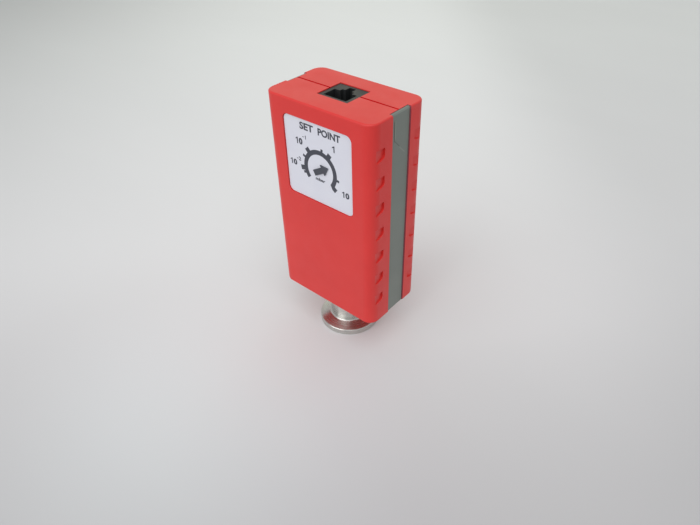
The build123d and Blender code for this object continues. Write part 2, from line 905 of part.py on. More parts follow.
# Screws with a cross recess in the head
with BuildPart() as board_screws:
    with BuildSketch(Plane.XZ.offset(-board_back)):
        with Locations(post_places):
            Circle(board_screw_head)
    extrude(amount=-board_screw_head_height)
    with BuildSketch(Plane.XZ.offset(-board_back)):
        with Locations(post_places):
            Circle(board_screw)
    extrude(amount=board_screw_length)
    with BuildSketch(Plane.XZ.offset(-board_back - board_screw_head_height)):
        with Locations(post_places):
            Rectangle(driver_slot_long, driver_slot_wide)
            Rectangle(driver_slot_wide, driver_slot_long)
    extrude(amount=driver_slot_deep, mode=Mode.SUBTRACT)

board_screws.part.label = "board_screws"
export_step(board_screws.part, "parts/board_screws.step")

screw_seat = back_y - counterbore_depth
with BuildPart() as case_screws:
    with BuildSketch(Plane.XZ.offset(-screw_seat)):
        with Locations(boss_places):
            Circle(screw_head)
    extrude(amount=-screw_head_height)
    chamfer(case_screws.faces().group_by(Axis.Y)[-1].edges(), head_edge)
    with BuildSketch(Plane.XZ.offset(-screw_seat)):
        with Locations(boss_places):
            Circle(case_screw)
    extrude(amount=case_screw_length)
    with BuildSketch(Plane.XZ.offset(-screw_seat - screw_head_height)):
        with Locations(boss_places):
            Rectangle(case_slot_long, case_slot_wide)
            Rectangle(case_slot_wide, case_slot_long)
    extrude(amount=case_slot_deep, mode=Mode.SUBTRACT)

case_screws.part.label = "case_screws"
export_step(case_screws.part, "parts/case_screws.step")
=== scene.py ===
import math

import bmesh
import bpy
from mathutils import Euler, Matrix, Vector


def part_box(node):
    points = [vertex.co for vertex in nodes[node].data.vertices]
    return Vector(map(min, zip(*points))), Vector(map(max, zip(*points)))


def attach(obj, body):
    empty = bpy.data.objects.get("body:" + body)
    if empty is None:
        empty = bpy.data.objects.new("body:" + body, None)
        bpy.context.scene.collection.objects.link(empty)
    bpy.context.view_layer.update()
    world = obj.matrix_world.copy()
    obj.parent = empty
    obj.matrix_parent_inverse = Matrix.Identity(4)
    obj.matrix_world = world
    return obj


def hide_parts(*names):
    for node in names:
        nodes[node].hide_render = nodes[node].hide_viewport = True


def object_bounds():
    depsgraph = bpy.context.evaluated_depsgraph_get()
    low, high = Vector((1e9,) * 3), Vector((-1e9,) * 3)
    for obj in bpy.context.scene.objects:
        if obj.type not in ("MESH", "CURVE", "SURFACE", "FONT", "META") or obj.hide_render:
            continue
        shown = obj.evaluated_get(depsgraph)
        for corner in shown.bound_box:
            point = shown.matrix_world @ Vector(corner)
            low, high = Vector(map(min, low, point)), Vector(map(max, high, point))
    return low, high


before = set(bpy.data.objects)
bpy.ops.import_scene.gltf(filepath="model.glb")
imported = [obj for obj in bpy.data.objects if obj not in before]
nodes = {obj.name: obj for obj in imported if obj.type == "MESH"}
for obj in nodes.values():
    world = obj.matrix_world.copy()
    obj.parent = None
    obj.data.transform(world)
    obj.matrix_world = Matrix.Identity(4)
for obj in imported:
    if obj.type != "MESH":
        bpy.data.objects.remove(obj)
cad_low, cad_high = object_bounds()

MM = 0.001

# Camera, solved from the edges of the case and the flange in the photograph
CAMERA_PLACE = Vector((147.06, -163.88, 211.77)) * MM
CAMERA_AZIMUTH = 41.69
CAMERA_ELEVATION = 38.75
CAMERA_ROLL = -1.57
FOCAL_PIXELS = 574.3
IMAGE_WIDTH = 700
SENSOR_WIDTH = 36.0
CLIP_START = 0.01
CLIP_END = 50.0

# Sky: its colour, its level as light, and its level as the backdrop that the camera sees
SKY_COLOUR = (0.98, 0.99, 1.0, 1.0)
WORLD_LEVEL = 0.58
BACKDROP_LEVEL = 0.80

# Soft lamps round the object, each with its place in metres, power in watts and colour
LAMP_SIZE = 1.2
LAMP_AIM = Vector((0.0, 0.0, 0.06))
LAMPS = {
    "front_lamp": ((-0.20, -1.15, 0.75), 6.4, (1.0, 1.0, 1.0)),
    "right_lamp": ((0.50, -0.50, 1.30), 6.5, (1.0, 1.0, 1.0)),
    "back_lamp": ((0.00, 1.20, 1.00), 1.2, (1.0, 1.0, 1.0)),
    "sheen_lamp": ((-0.72, 0.95, 0.75), 1.0, (0.92, 1.0, 0.55)),
}

# Floor in metres: half its width, and its directions away from the camera and to the camera's right
FLOOR_HALF = 6.0
FLOOR_SQUARES = 12
FLOOR_AWAY = Vector((-0.665, 0.747, 0.0))
FLOOR_ASIDE = Vector((0.747, 0.665, 0.0))

# Floor colours as display values, with painted light in them: darker near and lighter far, with the metres
# between which they blend, and paler in a painted pool of light before the object
NEAR_SHADED_COLOUR = (223, 222, 224)
FAR_LIT_COLOUR = (235, 237, 236)
NEAR_END = -0.10
FAR_END = 0.45
LIGHT_POOL_COLOUR = (237, 240, 242)
LIGHT_POOL_SPOT = -0.075 * FLOOR_AWAY - 0.077 * FLOOR_ASIDE
LIGHT_POOL_RADIUS = 0.117

# Painted falloff of light on the floor: two distances in metres, and the share of the colour that is left
# at each.
# The last brings the whole colour back well outside the photograph.
NEAR_FALL = (-0.19, 0.079, 0.62, 1.0)
RIGHT_FALL = (0.088, 0.223, 1.0, 0.84)
LEFT_FALL = (-0.60, 0.0, 0.60, 1.0)
OUTER_RISE = (0.8, 1.8, 0.0, 1.0)

# Painted shade in the joints of the case, in millimetres: deep red in the parting groove and dark on the
# walls of the side channels. The reach takes in the whole depth of a side channel, and FADE is how softly a
# mask ends.
PARTING_Y = 1.1
PARTING_HALF = 0.40
PARTING_FADE = 0.14
CHANNEL_WIDTH = 11.5
CHANNEL_REACH = 3.0
FADE = 0.05
case_top = cad_high[2] / MM
case_side = cad_high[0] / MM

# Edges paler from wear and a painted highlight: bevel radius in mm, and how well a bevelled normal matches
# the plain one on a flat and on a sharp edge
EDGE_RADIUS = 0.35
FLAT_MATCH = 0.995
SHARP_MATCH = 0.80

# Fine dark and pale lines that the photograph shows on the right strip: both ends by Y and Z in mm, half
# width, colour as display values and strength. Each fades out over a share of its length at both ends.
STRIP_LINES = (
    ((-2.8, 118.9), (-2.8, 109.2), 0.20, (50, 42, 36), 0.85),
    ((-2.15, 118.9), (-2.15, 110.4), 0.18, (150, 162, 142), 0.5),
    ((-2.7, 110.3), (0.9, 106.6), 0.17, (76, 80, 74), 0.7),
    ((0.2, 107.0), (4.5, 102.8), 0.22, (140, 146, 136), 0.5),
    ((-3.2, 58.0), (-3.1, 39.0), 0.12, (84, 90, 86), 0.45),
)
STRIP_LINE_END = 0.12

# Print on the label, in millimetres and degrees, with each tooth of the scale by angle and reach
DIAL_X = 0.8
DIAL_Z = 93.9
PRINT_LIFT = 0.01
PRINT_THICKNESS = 0.03
SCALE_INNER = 7.05
SCALE_OUTER = 9.1
SCALE_START = -40.0
SCALE_END = 218.0
MAJOR_TEETH = ((189.5, 11.1), (130.8, 10.9), (57.7, 10.7), (-39.0, 10.8))
MINOR_TEETH = ((201.0, 10.2), (154.5, 10.4), (82.0, 10.2), (-9.0, 10.4))
MAJOR_WIDTH = 2.2
MINOR_WIDTH = 1.1
OUTER_STEP = 3.0
LEAST_BEFORE_TOOTH = 1.0
FIRST_AFTER_TOOTH = 2.0
INNER_STEPS = 80
HEADING_LOW = 109.76
HEADING_HIGH = 112.9
HEADING_WEIGHT = 0.035
ZERO_WEIGHT = 0.05
ONE_END = 0.31
ZERO_START = 0.46
SAME_POINT = 0.0005


def linear(red, green, blue):
    """A colour given as 0 to 255 display values, as linear RGBA."""
    def one(value):
        value = value / 255
        return value / 12.92 if value <= 0.04045 else ((value + 0.055) / 1.055) ** 2.4
    return (one(red), one(green), one(blue), 1.0)


# Node helpers
def add(tree, kind, inputs=None, **settings):
    """A new node: settings are its own properties, inputs are values or sockets by name or number."""
    made = tree.nodes.new(kind)
    for key, value in settings.items():
        setattr(made, key, value)
    for key, value in (inputs or {}).items():
        if isinstance(value, bpy.types.NodeSocket):
            tree.links.new(value, made.inputs[key])
        else:
            made.inputs[key].default_value = value
    return made


def maths(tree, operation, *values):
    """Arithmetic on sockets or numbers."""
    return add(tree, "ShaderNodeMath", dict(enumerate(values)), operation=operation).outputs[0]


def times(tree, first, second):
    return maths(tree, "MULTIPLY", first, second)


def measure(tree, operation, *vectors):
    """A number from vectors: a dot product, a distance or a length."""
    made = add(tree, "ShaderNodeVectorMath", dict(enumerate(vectors)), operation=operation)
    return made.outputs["Value"]


def toward(tree, place, direction):
    """How far place lies along a direction."""
    return measure(tree, "DOT_PRODUCT", place, direction)


def stretch(tree, place, factors):
    return add(tree, "ShaderNodeVectorMath", {0: place, 1: factors}, operation="MULTIPLY").outputs[0]


def coordinates(tree, place):
    """The X, Y and Z sockets of place."""
    return add(tree, "ShaderNodeSeparateXYZ", {0: place}).outputs


def noise(tree, place, scale, detail, roughness=0.55):
    """Smooth noise; scale is features per unit of place."""
    inputs = {"Vector": place, "Scale": scale, "Detail": detail, "Roughness": roughness}
    return add(tree, "ShaderNodeTexNoise", inputs).outputs["Fac"]


def spread(tree, value, low, high, to_low=0.0, to_high=1.0):
    """value from low..high to to_low..to_high, held at the ends."""
    inputs = {"Value": value, "From Min": low, "From Max": high, "To Min": to_low, "To Max": to_high}
    return add(tree, "ShaderNodeMapRange", inputs, clamp=True).outputs["Result"]


def smooth(tree, value, low, high, to_low, to_high):
    """Like spread, with soft ends."""
    inputs = {"Value": value, "From Min": low, "From Max": high, "To Min": to_low, "To Max": to_high}
    return add(tree, "ShaderNodeMapRange", inputs, interpolation_type="SMOOTHSTEP").outputs["Result"]


def middle(tree, pattern, margin, to_low=0.0, to_high=1.0):
    """A pattern's middle range drawn out to to_low..to_high, with margin cut off at both ends."""
    return spread(tree, pattern, margin, 1 - margin, to_low, to_high)


def up_to(tree, value, limit, fade=FADE):
    """1 up to a limit, and 0 from fade beyond it."""
    return spread(tree, value, limit, limit + fade, 1.0, 0.0)


def blend_colour(tree, amount, first, second):
    """first where amount is 0, second where it is 1."""
    made = add(tree, "ShaderNodeMix", data_type="RGBA", blend_type="MIX")
    for socket, value in ((made.inputs[0], amount), (made.inputs[6], first), (made.inputs[7], second)):
        if isinstance(value, bpy.types.NodeSocket):
            tree.links.new(value, socket)
        else:
            socket.default_value = value
    return made.outputs[2]


def bump(tree, shader, heights):
    """Chains bumps onto the shader: heights are (height socket, depth in mm)."""
    normal = None
    for height, depth in heights:
        inputs = {"Height": height, "Distance": depth * MM, "Strength": 1.0}
        if normal is not None:
            inputs["Normal"] = normal
        normal = add(tree, "ShaderNodeBump", inputs).outputs["Normal"]
    tree.links.new(normal, shader.inputs["Normal"])


def new_shader(name, **sockets):
    """A node material, its tree and its Principled shader, with the plain sockets that are given."""
    material = bpy.data.materials.new(name)
    material.use_nodes = True
    tree = material.node_tree
    shader = tree.nodes["Principled BSDF"]
    for key, value in sockets.items():
        shader.inputs[key.replace("_", " ").title().replace("Ior", "IOR")].default_value = value
    return material, tree, shader


def place_in_metres(tree):
    return add(tree, "ShaderNodeTexCoord").outputs["Object"]


def place_in_mm(tree):
    return stretch(tree, place_in_metres(tree), (1 / MM, 1 / MM, 1 / MM))


def start(name, roughness, metallic=0.0, **sockets):
    """A new shader for a material of the object, and its object coordinates in millimetres."""
    material, tree, shader = new_shader(name, roughness=roughness, metallic=metallic, **sockets)
    return material, tree, shader, place_in_mm(tree)


# Masks, which are 1 where something shows and 0 elsewhere
def edge_mask(tree, strength):
    """Up to strength along sharp edges and 0 on flats, from how far a bevelled normal turns."""
    bevel = add(tree, "ShaderNodeBevel", {"Radius": EDGE_RADIUS * MM}, samples=6).outputs["Normal"]
    plain = add(tree, "ShaderNodeNewGeometry").outputs["Normal"]
    match = measure(tree, "DOT_PRODUCT", bevel, plain)
    return spread(tree, match, FLAT_MATCH, SHARP_MATCH, 0.0, strength)


def near_plane(tree, place, normal, offset, half_width, fade=FADE):
    """1 within half_width of a plane given by its unit normal and offset in mm, and 0 beyond."""
    apart = maths(tree, "SUBTRACT", toward(tree, place, normal), offset)
    return up_to(tree, maths(tree, "ABSOLUTE", apart), half_width, fade)


def parting_shade_mask(tree, place):
    """1 in and along the groove where the two halves of the case meet, where shade is painted."""
    return near_plane(tree, place, (0, 1, 0), PARTING_Y, PARTING_HALF, PARTING_FADE)


def channel_shade_mask(tree, place):
    """1 on the walls of the side channels, down beside the strips, where shade is painted."""
    x, y, z = coordinates(tree, place)
    from_middle = maths(tree, "ABSOLUTE", maths(tree, "SUBTRACT", y, PARTING_Y))
    wall = up_to(tree, from_middle, CHANNEL_WIDTH / 2 + FADE)
    across = maths(tree, "ABSOLUTE", x)
    innermost = case_side - CHANNEL_REACH
    inside = spread(tree, across, innermost, innermost + 2 * FADE)
    sunk = up_to(tree, across, case_side - 3 * FADE, 2 * FADE)
    below_top = up_to(tree, z, case_top - 2 * FADE)
    return times(tree, times(tree, wall, inside), times(tree, sunk, below_top))


def strip_line_mask(tree, place, first, last, half_width):
    """1 along a straight line on the right side, between two points given by Y and Z in mm."""
    run = Vector((0.0, last[0] - first[0], last[1] - first[1]))
    length = run.length
    run.normalize()
    origin = (0.0, first[0], first[1])
    from_first = add(tree, "ShaderNodeVectorMath", {0: place, 1: origin}, operation="SUBTRACT").outputs[0]
    along = toward(tree, from_first, run)
    begun = spread(tree, along, 0.0, STRIP_LINE_END * length)
    going = spread(tree, along, (1 - STRIP_LINE_END) * length, length, 1.0, 0.0)
    line = near_plane(tree, from_first, Vector((1.0, 0.0, 0.0)).cross(run), 0.0, half_width)
    right = spread(tree, coordinates(tree, place)[0], 0.0, 1.0)
    return times(tree, times(tree, begun, going), times(tree, line, right))


# Materials of the object
def moulded_plastic(name, colour, dark, edge, roughness=0.42, grain=0.004, wear_and_sheen=0.5, joints=None):
    """Moulded plastic: cloudy colour, fine spark eroded grain, paler along its edges from abrasion and a
    painted highlight.
    joints are the colours of painted shade in the parting groove and on the channel walls beside the
    strips."""
    material, tree, shader, place = start(name, roughness)
    cloud = middle(tree, noise(tree, place, scale=0.035, detail=4.0), 0.35)
    body = blend_colour(tree, cloud, dark, colour)
    speck = spread(tree, noise(tree, place, scale=2.2, detail=2.0), 0.62, 0.80, to_high=0.10)
    body = blend_colour(tree, speck, body, edge)
    # Paler edges: partly wear, partly a painted highlight along them.
    wear_and_sheen_patches = middle(tree, noise(tree, place, scale=0.45, detail=5.0, roughness=0.7), 0.30, to_low=0.35)
    rubbed_and_sheen = times(tree, edge_mask(tree, wear_and_sheen), wear_and_sheen_patches)
    body = blend_colour(tree, rubbed_and_sheen, body, edge)
    # Painted shade in the joints: deep red in the parting groove and dark on the channel walls, with the
    # specular reflection taken out of both.
    if joints is not None:
        parting = parting_shade_mask(tree, place)
        channel = channel_shade_mask(tree, place)
        body = blend_colour(tree, parting, body, joints[0])
        body = blend_colour(tree, channel, body, joints[1])
        shine = spread(tree, maths(tree, "MAXIMUM", parting, channel), 0.0, 1.0, 0.5, 0.0)
        tree.links.new(shine, shader.inputs["Specular IOR Level"])
    tree.links.new(body, shader.inputs["Base Color"])
    matt = middle(tree, noise(tree, place, scale=0.12, detail=5.0), 0.3, roughness - 0.05, roughness + 0.06)
    tree.links.new(matt, shader.inputs["Roughness"])
    soft = noise(tree, place, scale=0.9, detail=2.0)
    fine = noise(tree, place, scale=5.0, detail=3.0, roughness=0.6)
    bump(tree, shader, ((soft, grain * 2), (fine, grain)))
    return material


def turned_metal(name, colour, dark, roughness, ring_depth=0.0008, ring_pitch=0.16, brushed=0.5):
    """Metal turned about the Z axis: fine rings that follow radius and height.
    brushed is how far the rings draw a reflection out across them."""
    material, tree, shader, place = start(name, roughness, 1.0,
                                          anisotropic=brushed, anisotropic_rotation=0.25)
    around = add(tree, "ShaderNodeTangent", direction_type="RADIAL", axis="Z").outputs["Tangent"]
    tree.links.new(around, shader.inputs["Tangent"])
    x, y, z = coordinates(tree, place)
    flat = add(tree, "ShaderNodeCombineXYZ", {0: x, 1: y}).outputs[0]
    ring_place = add(tree, "ShaderNodeCombineXYZ", {0: measure(tree, "LENGTH", flat), 2: z}).outputs[0]
    rings = noise(tree, ring_place, scale=1 / ring_pitch, detail=3.0, roughness=0.7)
    broad = noise(tree, ring_place, scale=0.35, detail=2.0)
    cloud = noise(tree, place, scale=0.3, detail=3.0)
    tone = spread(tree, maths(tree, "ADD", broad, cloud), 0.75, 1.25)
    tree.links.new(blend_colour(tree, tone, dark, colour), shader.inputs["Base Color"])
    matt = middle(tree, rings, 0.25, roughness * 0.6, roughness * 1.5)
    tree.links.new(matt, shader.inputs["Roughness"])
    bump(tree, shader, ((rings, ring_depth),))
    return material


def drawn_metal(name, colour, dark, roughness, along=(6.0, 6.0, 0.3)):
    """Rolled, drawn or plated metal with fine lines along one axis."""
    material, tree, shader, place = start(name, roughness, 1.0)
    lines = noise(tree, stretch(tree, place, along), scale=1.0, detail=4.0, roughness=0.65)
    body = blend_colour(tree, middle(tree, lines, 0.3), dark, colour)
    tree.links.new(body, shader.inputs["Base Color"])
    matt = middle(tree, lines, 0.3, roughness * 0.75, roughness * 1.3)
    tree.links.new(matt, shader.inputs["Roughness"])
    bump(tree, shader, ((lines, 0.002),))
    return material


def printed_film(name, colour, dark, roughness=0.38):
    """Satin plastic film with faint mottling."""
    material, tree, shader, place = start(name, roughness)
    cloud = middle(tree, noise(tree, place, scale=0.08, detail=4.0), 0.35)
    speck = middle(tree, noise(tree, place, scale=3.0, detail=2.0), 0.35, to_high=0.25)
    body = blend_colour(tree, cloud, dark, colour)
    tree.links.new(blend_colour(tree, speck, body, dark), shader.inputs["Base Color"])
    matt = middle(tree, noise(tree, place, scale=0.5, detail=4.0), 0.3, roughness - 0.05, roughness + 0.05)
    tree.links.new(matt, shader.inputs["Roughness"])
    bump(tree, shader, ((noise(tree, place, scale=1.2, detail=3.0), 0.003),))
    return material


def circuit_board(name):
    """Green solder resist with the glass weave faintly showing."""
    material, tree, shader, place = start(name, 0.3)
    threads = []
    for axis in ("X", "Z"):
        inputs = {"Vector": place, "Scale": 0.62, "Distortion": 0.4}
        threads.append(add(tree, "ShaderNodeTexWave", inputs, bands_direction=axis).outputs["Fac"])
    weave = times(tree, *threads)
    body = blend_colour(tree, weave, linear(12, 72, 44), linear(26, 98, 58))
    copper = add(tree, "ShaderNodeTexVoronoi", {"Vector": place, "Scale": 0.22}, distance="MANHATTAN",
                 feature="DISTANCE_TO_EDGE").outputs["Distance"]
    track = spread(tree, copper, 0.05, 0.035, to_high=0.6)
    body = blend_colour(tree, track, body, linear(48, 128, 74))
    tree.links.new(body, shader.inputs["Base Color"])
    bump(tree, shader, ((weave, 0.006), (track, 0.03)))
    return material


def sealing_glass(name):
    """Dark green glass with faint swirls."""
    material, tree, shader, place = start(name, 0.08, ior=1.5)
    swirl = noise(tree, place, scale=1.6, detail=4.0)
    body = blend_colour(tree, middle(tree, swirl, 0.3), linear(34, 76, 72), linear(60, 118, 108))
    tree.links.new(body, shader.inputs["Base Color"])
    bump(tree, shader, ((swirl, 0.004),))
    return material


def draw_strip_lines(material):
    """Lays the dark and pale lines over the colour that the strip material already has."""
    tree = material.node_tree
    shader = tree.nodes["Principled BSDF"]
    body = shader.inputs["Base Color"].links[0].from_socket
    place = place_in_mm(tree)
    for first, last, half_width, shade, strength in STRIP_LINES:
        line = strip_line_mask(tree, place, first, last, half_width)
        body = blend_colour(tree, times(tree, line, strength), body, linear(*shade))
    tree.links.new(body, shader.inputs["Base Color"])


# Finishes of the CAD nodes, by the record's slot
finishes = {
    # The red takes painted shade in its joints, and paler edges from wear and a painted highlight.
    "case_red": moulded_plastic("red_plastic", (0.71, 0.033, 0.029, 1), (0.67, 0.029, 0.026, 1),
                                (0.80, 0.10, 0.08, 1), wear_and_sheen=0.3,
                                joints=((0.56, 0.008, 0.012, 1), (0.34, 0.08, 0.10, 1))),
    "strip_grey": moulded_plastic("grey_plastic", linear(118, 125, 118), linear(113, 120, 114),
                                  linear(140, 146, 140), roughness=0.36, grain=0.002),
    "label_white": printed_film("label_film", linear(222, 223, 232), linear(218, 219, 230)),
    "arrow_dark": moulded_plastic("arrow_plastic", linear(70, 72, 82), linear(64, 66, 76),
                                  linear(104, 106, 116), roughness=0.45, grain=0.002),
    "rotor_white": moulded_plastic("rotor_nylon", linear(222, 219, 208), linear(214, 210, 198),
                                   linear(236, 234, 226), roughness=0.45),
    "trimmer_blue": moulded_plastic("trimmer_plastic", linear(60, 84, 128), linear(54, 76, 118),
                                    linear(96, 118, 156), roughness=0.4),
    "board_green": circuit_board("board_resist"),
    "jack_black": moulded_plastic("black_plastic", linear(37, 39, 40), linear(32, 34, 35),
                                  linear(64, 66, 68), roughness=0.46, grain=0.003, wear_and_sheen=0.6),
    "contact_gold": drawn_metal("gold_plate", (0.90, 0.66, 0.30, 1), (0.82, 0.58, 0.25, 1), 0.2),
    "tube_steel": turned_metal("polished_steel", (0.67, 0.67, 0.64, 1), (0.57, 0.57, 0.54, 1), 0.25,
                               brushed=0.85),
    "filter_steel": turned_metal("etched_steel", (0.62, 0.62, 0.61, 1), (0.50, 0.50, 0.49, 1), 0.32),
    "header_metal": turned_metal("header_alloy", (0.62, 0.59, 0.54, 1), (0.53, 0.50, 0.45, 1), 0.3),
    "bead_glass": sealing_glass("bead_glass_surface"),
    "pin_metal": drawn_metal("nickel_plate", (0.68, 0.64, 0.57, 1), (0.58, 0.54, 0.48, 1), 0.24),
    "wire_tungsten": drawn_metal("tungsten_wire", (0.40, 0.40, 0.42, 1), (0.30, 0.30, 0.32, 1), 0.35),
    "collar_metal": turned_metal("turned_aluminium", (0.75, 0.76, 0.77, 1), (0.66, 0.67, 0.68, 1), 0.26,
                                 ring_depth=0.002, ring_pitch=0.25),
    "spring_steel": drawn_metal("tinned_strip", (0.70, 0.70, 0.68, 1), (0.60, 0.60, 0.58, 1), 0.28),
    "relay_cream": moulded_plastic("relay_cover", linear(220, 216, 203), linear(213, 208, 194),
                                   linear(234, 231, 221), roughness=0.35),
    "capacitor_sleeve": drawn_metal("can_metal", (0.66, 0.67, 0.69, 1), (0.56, 0.57, 0.59, 1), 0.3),
    "chip_black": moulded_plastic("chip_epoxy", linear(46, 46, 48), linear(40, 40, 42),
                                  linear(72, 72, 74), roughness=0.5, grain=0.006),
    "screw_zinc": drawn_metal("zinc_plate", (0.70, 0.71, 0.72, 1), (0.60, 0.61, 0.62, 1), 0.25,
                              along=(1.0, 1.0, 1.0)),
}
draw_strip_lines(finishes["strip_grey"])
for cad_object in nodes.values():
    for material_slot in cad_object.material_slots:
        slot_name = material_slot.material.name.split(".")[0]
        material_slot.material = finishes[slot_name]


def case_piece(name, bm, slot_name, material=None):
    """Turns a bmesh in millimetres into a piece that rides on the case, in its slot's finish if no
    other material is given."""
    if material is None:
        material = finishes[slot_name]
    bmesh.ops.recalc_face_normals(bm, faces=bm.faces)
    mesh = bpy.data.meshes.new(name)
    bm.to_mesh(mesh)
    bm.free()
    for corner in mesh.vertices:
        corner.co = corner.co * MM
    mesh.materials.append(material)
    piece = bpy.data.objects.new(name, mesh)
    bpy.context.scene.collection.objects.link(piece)
    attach(piece, "case")
    return piece


# Print on the label
print_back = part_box("label_plate")[0].y / MM - PRINT_LIFT
print_front = print_back - PRINT_THICKNESS
ink = printed_film("dial_ink", linear(66, 68, 79), linear(60, 62, 73), 0.4)


def polar(angle, radius, aside=0.0):
    """A point on the label at an angle in degrees and a radius, moved aside square to that direction."""
    turn = math.radians(angle)
    return (DIAL_X + radius * math.cos(turn) - aside * math.sin(turn),
            DIAL_Z + radius * math.sin(turn) + aside * math.cos(turn))


def scale_outline():
    """The dial arc with its teeth, as one closed outline."""
    teeth = [(tooth, reach, MAJOR_WIDTH) for tooth, reach in MAJOR_TEETH]
    teeth += [(tooth, reach, MINOR_WIDTH) for tooth, reach in MINOR_TEETH]
    points = []
    angle = SCALE_START
    for tooth, reach, width in sorted(teeth):
        half = math.degrees(math.asin(width / 2 / SCALE_OUTER))
        while angle < tooth - half - LEAST_BEFORE_TOOTH:
            points.append(polar(angle, SCALE_OUTER))
            angle += OUTER_STEP
        for radius, aside in ((SCALE_OUTER, -width / 2), (reach, -width / 2), (reach, width / 2),
                              (SCALE_OUTER, width / 2)):
            points.append(polar(tooth, radius, aside))
        angle = tooth + half + FIRST_AFTER_TOOTH
    while angle < SCALE_END:
        points.append(polar(angle, SCALE_OUTER))
        angle += OUTER_STEP
    points.append(polar(SCALE_END, SCALE_OUTER))
    for step in range(INNER_STEPS + 1):
        points.append(polar(SCALE_END + (SCALE_START - SCALE_END) * step / INNER_STEPS, SCALE_INNER))
    return points


def slab(points):
    """A thin bmesh slab on the label with that outline."""
    bm = bmesh.new()
    back = bm.faces.new([bm.verts.new((x, print_back, z)) for x, z in points])
    grown = bmesh.ops.extrude_face_region(bm, geom=[back])
    front = [item for item in grown["geom"] if isinstance(item, bmesh.types.BMVert)]
    bmesh.ops.translate(bm, verts=front, vec=(0, print_front - print_back, 0))
    bmesh.ops.triangulate(bm, faces=[face for face in bm.faces if len(face.verts) > 4])
    return bm


def numeral_one(name, left, right, low, high):
    """A numeral one with a flag, which the built-in lettering lacks."""
    rise = high - low
    stem = 0.2 * rise
    points = (
        (right - stem, low),
        (right, low),
        (right, high),
        (right - 0.7 * stem, high),
        (left, high - 0.20 * rise),
        (left, high - 0.35 * rise),
        (right - stem, high - 0.26 * rise),
    )
    case_piece(name, slab(points), "arrow_dark", ink)


def lettering(name, words, left, right, low, high, weight=0.03):
    """Flat lettering on the label, fitted to a box in millimetres; weight thickens its strokes."""
    curve = bpy.data.curves.new(name, "FONT")
    curve.body = words
    curve.size = 1.0
    curve.offset = weight
    curve.resolution_u = 4
    curve.extrude = 0.5
    maker = bpy.data.objects.new(name + "_maker", curve)
    bpy.context.scene.collection.objects.link(maker)
    bpy.context.view_layer.update()
    mesh = bpy.data.meshes.new_from_object(maker.evaluated_get(bpy.context.evaluated_depsgraph_get()))
    bpy.data.objects.remove(maker)
    across = [vertex.co.x for vertex in mesh.vertices]
    up = [vertex.co.y for vertex in mesh.vertices]
    wide = (right - left) / (max(across) - min(across))
    tall = (high - low) / (max(up) - min(up))
    bm = bmesh.new()
    for vertex in mesh.vertices:
        bm.verts.new((left + (vertex.co.x - min(across)) * wide,
                      print_back if vertex.co.z < 0 else print_front,
                      low + (vertex.co.y - min(up)) * tall))
    bm.verts.ensure_lookup_table()
    for polygon in mesh.polygons:
        bm.faces.new([bm.verts[index] for index in polygon.vertices])
    bpy.data.meshes.remove(mesh)
    bmesh.ops.remove_doubles(bm, verts=bm.verts, dist=SAME_POINT)
    case_piece(name, bm, "arrow_dark", ink)


def ten(name, left, right, low, high):
    """The figure 10 in a box, where the one ends and the zero starts at a share of its width."""
    wide = right - left
    numeral_one(name + "_one", left, left + ONE_END * wide, low, high)
    lettering(name + "_zero", "0", left + ZERO_START * wide, right, low, high, ZERO_WEIGHT)


# The pieces of the print, each with the left, right, low and high of its box in millimetres
case_piece("dial_scale", slab(scale_outline()), "arrow_dark", ink)
lettering("heading_first_word", "SET", -9.4, -1.9, HEADING_LOW, HEADING_HIGH, HEADING_WEIGHT)
lettering("heading_second_word", "POINT", 0.6, 12.4, HEADING_LOW, HEADING_HIGH, HEADING_WEIGHT)
ten("number_tenth", -12.2, -8.4, 102.6, 105.5)
lettering("number_tenth_minus", "-", -8.2, -7.5, 106.35, 106.68)
numeral_one("number_tenth_power", -6.85, -6.3, 105.75, 107.4)
numeral_one("number_one", 7.95, 9.25, 104.75, 107.55)
ten("number_hundredth", -16.4, -12.6, 91.9, 94.6)
lettering("number_hundredth_minus", "-", -12.4, -11.6, 95.4, 95.72)
lettering("number_hundredth_power", "2", -11.3, -10.1, 94.8, 96.6)
ten("number_ten", 12.5, 16.3, 85.9, 88.7)
lettering("unit_word", "mbar", -2.06, 3.25, 88.8, 90.35)


# Fine parts inside the case, in millimetres
def circle(steps):
    """Points spaced evenly round the unit circle."""
    turns = [2 * math.pi * step / steps for step in range(steps)]
    return [(math.cos(turn), math.sin(turn)) for turn in turns]


def bridge(bm, first, second):
    """Faces between two closed rings of vertices with as many in each."""
    for index in range(len(first)):
        other = (index + 1) % len(first)
        bm.faces.new((first[index], first[other], second[other], second[index]))


def wire(bm, points, radius, sides):
    """A wire along a list of points, closed at both ends."""
    rings = []
    aside = None
    for index, point in enumerate(points):
        along = points[min(index + 1, len(points) - 1)] - points[max(index - 1, 0)]
        along.normalize()
        if aside is None:
            aside = along.orthogonal()
        aside = (aside - along * aside.dot(along)).normalized()
        up = along.cross(aside)
        rings.append([bm.verts.new(point + radius * (x * aside + y * up)) for x, y in circle(sides)])
    for first, second in zip(rings, rings[1:]):
        bridge(bm, first, second)
    bm.faces.new(rings[0])
    bm.faces.new(rings[-1])


def helix(centre, axis, radius, length, pitch, steps):
    """Points of a helix that starts at centre and climbs along axis, with steps to a turn."""
    aside = axis.orthogonal().normalized()
    up = axis.cross(aside)
    count = int(length / pitch * steps)
    points = []
    for index in range(count + 1):
        turn = 2 * math.pi * index / steps
        climb = length * index / count
        points.append(centre + climb * axis + radius * (math.cos(turn) * aside + math.sin(turn) * up))
    return points


def box_mm(name):
    """The low and high corners of a CAD node, in millimetres."""
    low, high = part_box(name)
    return Vector(low) / MM, Vector(high) / MM


